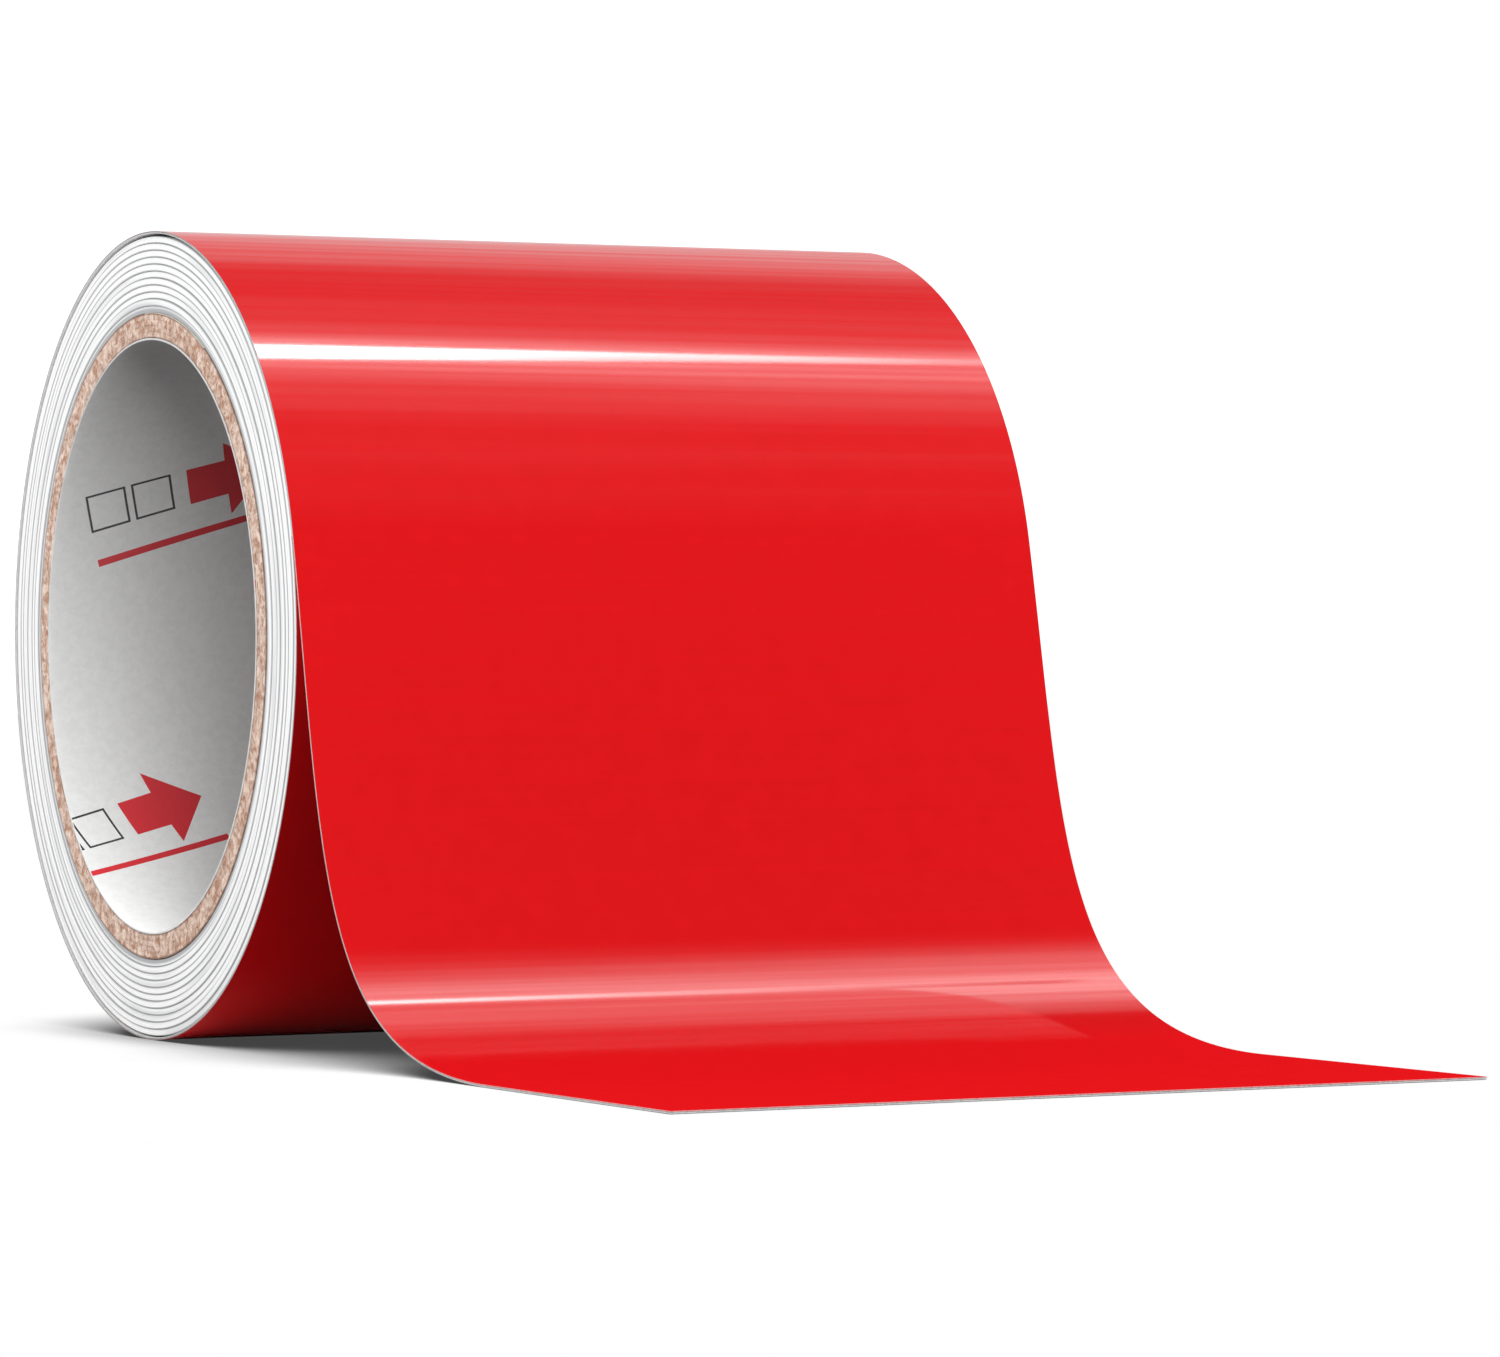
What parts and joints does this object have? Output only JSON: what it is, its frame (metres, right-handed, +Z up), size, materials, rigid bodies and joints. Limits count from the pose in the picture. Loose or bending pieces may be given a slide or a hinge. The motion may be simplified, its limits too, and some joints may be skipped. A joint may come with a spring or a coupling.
{
  "type": "roll of sign vinyl",
  "caption": "Roll of gloss red sign vinyl on a board core, its free end run down and flat over the bench; the roll turns to pay out web and the film peels off its white liner.",
  "frame": {"origin": "on the bench, under the middle of the whole object", "axes": "+X along the core towards the far end, -Y towards the cut end of the leader, +Z up"},
  "size_m": [0.1016, 0.208, 0.1039],
  "materials": {
    "lining_paper": "coated, satin",
    "core_board": "raw fibre, matt",
    "tape": "satin",
    "wound_edge": "cut edges of liner and film, matt",
    "liner": "silicone-coated, smooth",
    "film": "gloss"
  },
  "bodies": {
    "free_web": {"film_outer_turn": "film", "film_free_span": "film", "liner_outer_turn": "liner", "liner_free_span": "liner"},
    "roll": {"core_lining": "lining_paper", "core_ply_1": "core_board", "core_ply_2": "core_board", "core_ply_3": "core_board", "core_ply_4": "core_board", "starter_tape": "tape", "wound_web_01": "wound_edge", "wound_web_02": "wound_edge", "wound_web_03": "wound_edge", "wound_web_04": "wound_edge", "wound_web_05": "wound_edge", "wound_web_06": "wound_edge", "wound_web_07": "wound_edge", "wound_web_08": "wound_edge", "wound_web_09": "wound_edge", "wound_web_10": "wound_edge", "wound_web_11": "wound_edge"},
    "leader": {"liner_leader": "liner", "film_leader": "film"},
    "peel_1": {"film_peel_1": "film"},
    "peel_2": {"film_peel_2": "film"},
    "peel_3": {"film_peel_3": "film"},
    "peel_4": {"film_peel_4": "film"},
    "peel_5": {"film_peel_5": "film"},
    "peel_6": {"film_peel_6": "film"}
  },
  "joints": [
    {"name": "roll_turn", "type": "hinge", "parent": "free_web", "child": "roll", "pos_m": [0, 0.05208, 0.05188], "axis": [1, 0, 0], "range_deg": [0, 360]},
    {"name": "leader_pull", "type": "slide", "parent": "free_web", "child": "leader", "axis": [0, -1, 0], "range_m": [0, 0.33]},
    {"name": "peel_curl_1", "type": "hinge", "parent": "leader", "child": "peel_1", "pos_m": [0, -0.06805, 0.00025], "axis": [-1, 0, 0], "range_deg": [0, 30]},
    {"name": "peel_curl_2", "type": "hinge", "parent": "peel_1", "child": "peel_2", "pos_m": [0, -0.07405, 0.00025], "axis": [-1, 0, 0], "range_deg": [0, 30]},
    {"name": "peel_curl_3", "type": "hinge", "parent": "peel_2", "child": "peel_3", "pos_m": [0, -0.08005, 0.00025], "axis": [-1, 0, 0], "range_deg": [0, 30]},
    {"name": "peel_curl_4", "type": "hinge", "parent": "peel_3", "child": "peel_4", "pos_m": [0, -0.08605, 0.00025], "axis": [-1, 0, 0], "range_deg": [0, 30]},
    {"name": "peel_curl_5", "type": "hinge", "parent": "peel_4", "child": "peel_5", "pos_m": [0, -0.09205, 0.00025], "axis": [-1, 0, 0], "range_deg": [0, 30]},
    {"name": "peel_curl_6", "type": "hinge", "parent": "peel_5", "child": "peel_6", "pos_m": [0, -0.09805, 0.00025], "axis": [-1, 0, 0], "range_deg": [0, 30]}
  ],
  "couplings": [
    {"joint": "leader_pull", "follows": "roll_turn", "m_per_rad": 0.05213},
    {"joint": "peel_curl_2", "follows": "peel_curl_1", "ratio": 1},
    {"joint": "peel_curl_3", "follows": "peel_curl_1", "ratio": 1},
    {"joint": "peel_curl_4", "follows": "peel_curl_1", "ratio": 1},
    {"joint": "peel_curl_5", "follows": "peel_curl_1", "ratio": 1},
    {"joint": "peel_curl_6", "follows": "peel_curl_1", "ratio": 1}
  ]
}
